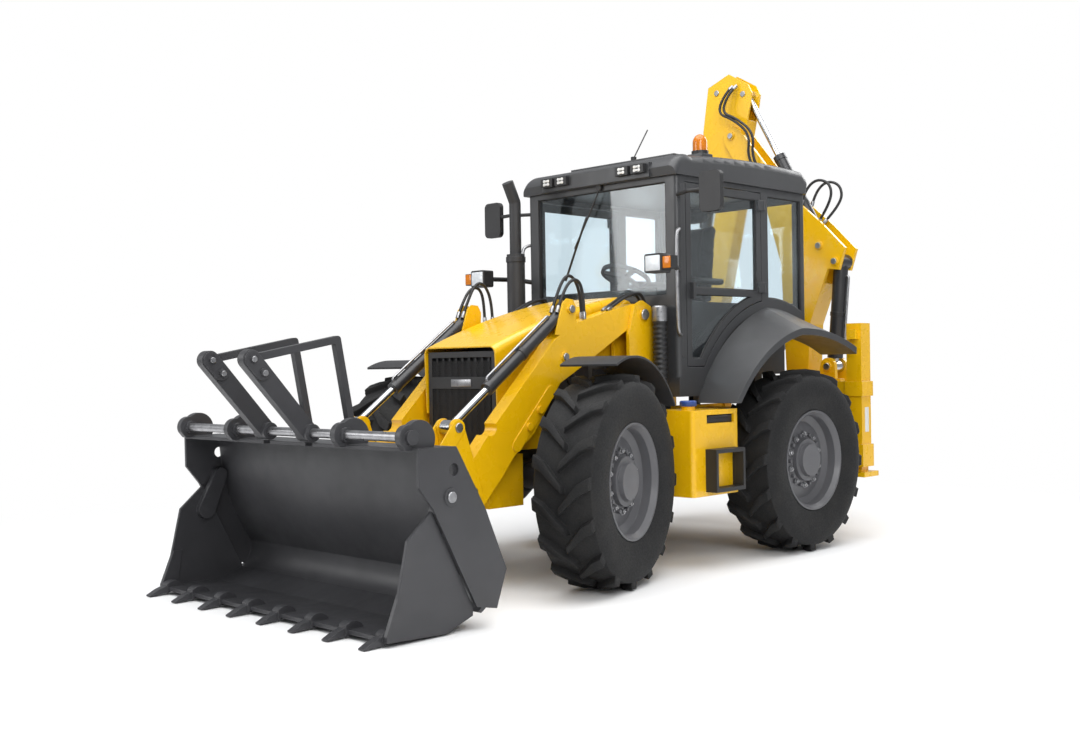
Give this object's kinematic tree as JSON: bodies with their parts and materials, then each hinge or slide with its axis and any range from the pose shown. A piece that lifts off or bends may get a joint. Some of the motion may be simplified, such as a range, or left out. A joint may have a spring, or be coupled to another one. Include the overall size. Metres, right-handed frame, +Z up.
{
  "type": "backhoe loader with clam shovel",
  "caption": "Yellow four-wheel-steer backhoe loader with a grey glazed cab, a clam shovel with fold-over forks and a side-shift hoe stowed across the back.",
  "frame": {"origin": "on the ground under the middle of the bounding box", "axes": "+X forward to the shovel, +Y to the machine's left, +Z up"},
  "size_m": [5.976, 2.6019, 4.085],
  "materials": {
    "yellow_paint": "gloss yellow enamel",
    "grey_paint": "dark grey enamel",
    "dark_paint": "charcoal enamel",
    "dark_iron": "black painted casting",
    "rim_grey": "grey rim enamel",
    "tyre_rubber": "black tread rubber",
    "ram_black": "black ram barrel",
    "ram_chrome": "polished ram rod",
    "black_plastic": "moulded black plastic",
    "cab_glazing": "clear safety glass",
    "seat_cloth": "dark woven seat cover"
  },
  "bodies": {
    "chassis": {"main_frame": "yellow_paint", "engine": "dark_iron", "grille": "black_plastic", "front_axle": "dark_iron", "rear_axle": "dark_iron", "side_tanks": "yellow_paint", "steps": "black_plastic", "cab_frame": "grey_paint", "cab_roof": "grey_paint", "cab_glass": "cab_glazing", "rear_fenders": "grey_paint", "seat": "seat_cloth", "console": "black_plastic", "exhaust": "dark_iron", "lamps": "black_plastic", "mirrors": "black_plastic", "rear_frame": "yellow_paint"},
    "hood": {"hood": "yellow_paint"},
    "door_left": {"door_left": "grey_paint", "door_left_glass": "cab_glazing"},
    "door_right": {"door_right": "grey_paint", "door_right_glass": "cab_glazing"},
    "knuckle_front_left": {"knuckle_front_left": "dark_iron"},
    "wheel_front_left": {"tyre_front_left": "tyre_rubber", "rim_front_left": "rim_grey"},
    "knuckle_front_right": {"knuckle_front_right": "dark_iron"},
    "wheel_front_right": {"tyre_front_right": "tyre_rubber", "rim_front_right": "rim_grey"},
    "knuckle_rear_left": {"knuckle_rear_left": "dark_iron"},
    "wheel_rear_left": {"tyre_rear_left": "tyre_rubber", "rim_rear_left": "rim_grey"},
    "knuckle_rear_right": {"knuckle_rear_right": "dark_iron"},
    "wheel_rear_right": {"tyre_rear_right": "tyre_rubber", "rim_rear_right": "rim_grey"},
    "loader_arms": {"loader_arms": "yellow_paint"},
    "lift_barrels": {"lift_barrels": "ram_black"},
    "lift_rods": {"lift_rods": "ram_chrome"},
    "tilt_barrels": {"tilt_barrels": "ram_black"},
    "tilt_rods": {"tilt_rods": "ram_chrome"},
    "tilt_levers": {"tilt_levers": "yellow_paint"},
    "tilt_links": {"tilt_links": "yellow_paint"},
    "bucket_back": {"bucket_back": "dark_paint"},
    "bucket_clam": {"bucket_clam": "dark_paint"},
    "fork_left": {"fork_left": "dark_paint"},
    "fork_right": {"fork_right": "dark_paint"},
    "leg_left": {"leg_left": "yellow_paint"},
    "leg_right": {"leg_right": "yellow_paint"},
    "carriage": {"carriage": "yellow_paint"},
    "swing_post": {"swing_post": "yellow_paint"},
    "boom": {"boom": "yellow_paint"},
    "dipper": {"dipper": "yellow_paint"},
    "hoe_bucket": {"hoe_bucket": "dark_paint"},
    "boom_barrel": {"boom_barrel": "ram_black"},
    "boom_rod": {"boom_rod": "ram_chrome"},
    "dipper_barrel": {"dipper_barrel": "ram_black"},
    "dipper_rod": {"dipper_rod": "ram_chrome"},
    "hoe_bucket_barrel": {"hoe_bucket_barrel": "ram_black"},
    "hoe_bucket_rod": {"hoe_bucket_rod": "ram_chrome"},
    "hoe_levers": {"hoe_levers": "yellow_paint"},
    "hoe_link": {"hoe_link": "yellow_paint"}
  },
  "joints": [
    {"name": "steer_front_left", "type": "hinge", "parent": "chassis", "child": "knuckle_front_left", "pos_m": [0.785, 0.76, 0.69], "axis": [0, 0, 1], "range_deg": [-33, 1]},
    {"name": "spin_front_left", "type": "hinge", "parent": "knuckle_front_left", "child": "wheel_front_left", "pos_m": [0.73814, 0.92341, 0.69], "axis": [-0.2756, 0.9613, 0], "continuous": true},
    {"name": "steer_front_right", "type": "hinge", "parent": "chassis", "child": "knuckle_front_right", "pos_m": [0.785, -0.76, 0.69], "axis": [0, 0, 1], "range_deg": [-33, 1]},
    {"name": "spin_front_right", "type": "hinge", "parent": "knuckle_front_right", "child": "wheel_front_right", "pos_m": [0.83186, -0.92341, 0.69], "axis": [-0.2756, 0.9613, 0], "continuous": true},
    {"name": "steer_rear_left", "type": "hinge", "parent": "chassis", "child": "knuckle_rear_left", "pos_m": [-1.398, 0.76, 0.69], "axis": [0, 0, -1], "range_deg": [-15, 15]},
    {"name": "spin_rear_left", "type": "hinge", "parent": "knuckle_rear_left", "child": "wheel_rear_left", "pos_m": [-1.398, 0.93, 0.69], "axis": [0, 1, 0], "continuous": true},
    {"name": "steer_rear_right", "type": "hinge", "parent": "chassis", "child": "knuckle_rear_right", "pos_m": [-1.398, -0.76, 0.69], "axis": [0, 0, -1], "range_deg": [-15, 15]},
    {"name": "spin_rear_right", "type": "hinge", "parent": "knuckle_rear_right", "child": "wheel_rear_right", "pos_m": [-1.398, -0.93, 0.69], "axis": [0, 1, 0], "continuous": true},
    {"name": "hood_hinge", "type": "hinge", "parent": "chassis", "child": "hood", "pos_m": [-0.168, 0, 1.862], "axis": [0, -1, 0], "range_deg": [0, 50]},
    {"name": "door_left_hinge", "type": "hinge", "parent": "chassis", "child": "door_left", "pos_m": [-1.292, 0.766, 2.3], "axis": [0, 0, 1], "range_deg": [0, 80]},
    {"name": "door_right_hinge", "type": "hinge", "parent": "chassis", "child": "door_right", "pos_m": [-1.292, -0.766, 2.3], "axis": [0, 0, -1], "range_deg": [0, 80]},
    {"name": "loader_lift", "type": "hinge", "parent": "chassis", "child": "loader_arms", "pos_m": [-0.068, 0, 1.79], "axis": [0, -1, 0], "range_deg": [0, 65]},
    {"name": "lift_barrel_swing", "type": "hinge", "parent": "chassis", "child": "lift_barrels", "pos_m": [0.002, 0, 0.6], "axis": [0, -1, 0], "range_deg": [-0.2, 22.07]},
    {"name": "lift_rod_stroke", "type": "slide", "parent": "lift_barrels", "child": "lift_rods", "axis": [0.6219, 0, 0.7831], "range_m": [-0.0005, 0.70766]},
    {"name": "bucket_tilt", "type": "hinge", "parent": "loader_arms", "child": "bucket_back", "pos_m": [1.832, 0, 0.33], "axis": [0, 1, 0], "range_deg": [-40, 100]},
    {"name": "tilt_lever_swing", "type": "hinge", "parent": "loader_arms", "child": "tilt_levers", "pos_m": [1.562, 0, 0.66], "axis": [0, 1, 0], "range_deg": [-40, 100]},
    {"name": "tilt_link_swing", "type": "hinge", "parent": "tilt_levers", "child": "tilt_links", "pos_m": [1.687, 0, 1.068], "axis": [0, 1, 0], "range_deg": [-100, 40]},
    {"name": "tilt_barrel_swing", "type": "hinge", "parent": "loader_arms", "child": "tilt_barrels", "pos_m": [0.647, 0, 1.815], "axis": [0, -1, 0], "range_deg": [-5.39, 2.28]},
    {"name": "tilt_rod_stroke", "type": "slide", "parent": "tilt_barrels", "child": "tilt_rods", "axis": [0.8122, 0, -0.5834], "range_m": [-0.23088, 0.57646]},
    {"name": "clam_open", "type": "hinge", "parent": "bucket_back", "child": "bucket_clam", "pos_m": [2.327, 0, 0.744], "axis": [0, 1, 0], "range_deg": [-70, 0]},
    {"name": "fork_left_flip", "type": "hinge", "parent": "bucket_back", "child": "fork_left", "pos_m": [2.553, 0.22, 1.072], "axis": [0, 1, 0], "range_deg": [0, 120]},
    {"name": "fork_right_flip", "type": "hinge", "parent": "bucket_back", "child": "fork_right", "pos_m": [2.553, -0.22, 1.072], "axis": [0, 1, 0], "range_deg": [0, 120]},
    {"name": "side_shift", "type": "slide", "parent": "chassis", "child": "carriage", "axis": [0, -1, 0], "range_m": [0, 0.9]},
    {"name": "hoe_swing", "type": "hinge", "parent": "carriage", "child": "swing_post", "pos_m": [-2.688, 0.45, 0.89], "axis": [0, 0, -1], "range_deg": [0, 180]},
    {"name": "boom_lower", "type": "hinge", "parent": "swing_post", "child": "boom", "pos_m": [-2.688, 0.215, 1.01], "axis": [1, 0, 0], "range_deg": [0, 90]},
    {"name": "boom_barrel_swing", "type": "hinge", "parent": "boom", "child": "boom_barrel", "pos_m": [-2.688, 0.6, 2.29], "axis": [1, 0, 0], "range_deg": [-0.2, 5.1]},
    {"name": "boom_rod_stroke", "type": "slide", "parent": "boom_barrel", "child": "boom_rod", "axis": [0, -0.0885, -0.9961], "range_m": [-0.0005, 0.68196]},
    {"name": "dipper_reach", "type": "hinge", "parent": "boom", "child": "dipper", "pos_m": [-2.688, -0.457, 3.508], "axis": [-1, 0, 0], "range_deg": [0, 105]},
    {"name": "dipper_barrel_swing", "type": "hinge", "parent": "boom", "child": "dipper_barrel", "pos_m": [-2.688, 0.448, 2.436], "axis": [1, 0, 0], "range_deg": [-0.2, 4.95]},
    {"name": "dipper_rod_stroke", "type": "slide", "parent": "dipper_barrel", "child": "dipper_rod", "axis": [0, -0.4814, 0.8765], "range_m": [-0.60731, 0.0005]},
    {"name": "hoe_bucket_open", "type": "hinge", "parent": "dipper", "child": "hoe_bucket", "pos_m": [-2.688, -0.79, 1.79], "axis": [-1, 0, 0], "range_deg": [0, 120]},
    {"name": "hoe_lever_swing", "type": "hinge", "parent": "dipper", "child": "hoe_levers", "pos_m": [-2.688, -0.79, 2.08], "axis": [-1, 0, 0], "range_deg": [0, 120]},
    {"name": "hoe_link_swing", "type": "hinge", "parent": "hoe_levers", "child": "hoe_link", "pos_m": [-2.688, -0.979, 1.81], "axis": [-1, 0, 0], "range_deg": [-120, 0]},
    {"name": "hoe_bucket_barrel_swing", "type": "hinge", "parent": "dipper", "child": "hoe_bucket_barrel", "pos_m": [-2.688, -0.636, 3.934], "axis": [1, 0, 0], "range_deg": [-1.71, 0.2]},
    {"name": "hoe_bucket_rod_stroke", "type": "slide", "parent": "hoe_bucket_barrel", "child": "hoe_bucket_rod", "axis": [0, -0.1594, -0.9872], "range_m": [-0.56928, 0.0005]},
    {"name": "leg_left_drop", "type": "slide", "parent": "chassis", "child": "leg_left", "axis": [0, 0, -1], "range_m": [0, 0.56]},
    {"name": "leg_right_drop", "type": "slide", "parent": "chassis", "child": "leg_right", "axis": [0, 0, -1], "range_m": [0, 0.56]}
  ],
  "couplings": [
    {"joint": "steer_front_right", "follows": "steer_front_left", "ratio": 1},
    {"joint": "steer_rear_right", "follows": "steer_rear_left", "ratio": 1},
    {"joint": "lift_barrel_swing", "follows": "loader_lift", "ratio": 0.33638},
    {"joint": "lift_rod_stroke", "follows": "loader_lift", "m_per_rad": 0.62334},
    {"joint": "tilt_lever_swing", "follows": "bucket_tilt", "ratio": 1},
    {"joint": "tilt_link_swing", "follows": "bucket_tilt", "ratio": -1},
    {"joint": "tilt_barrel_swing", "follows": "bucket_tilt", "ratio": -0.051924},
    {"joint": "tilt_rod_stroke", "follows": "bucket_tilt", "m_per_rad": 0.33},
    {"joint": "boom_barrel_swing", "follows": "boom_lower", "ratio": 0.054432},
    {"joint": "boom_rod_stroke", "follows": "boom_lower", "m_per_rad": 0.43383},
    {"joint": "dipper_barrel_swing", "follows": "dipper_reach", "ratio": 0.045206},
    {"joint": "dipper_rod_stroke", "follows": "dipper_reach", "m_per_rad": -0.33112},
    {"joint": "hoe_lever_swing", "follows": "hoe_bucket_open", "ratio": 1},
    {"joint": "hoe_link_swing", "follows": "hoe_bucket_open", "ratio": -1},
    {"joint": "hoe_bucket_barrel_swing", "follows": "hoe_bucket_open", "ratio": -0.012558},
    {"joint": "hoe_bucket_rod_stroke", "follows": "hoe_bucket_open", "m_per_rad": -0.27157}
  ]
}
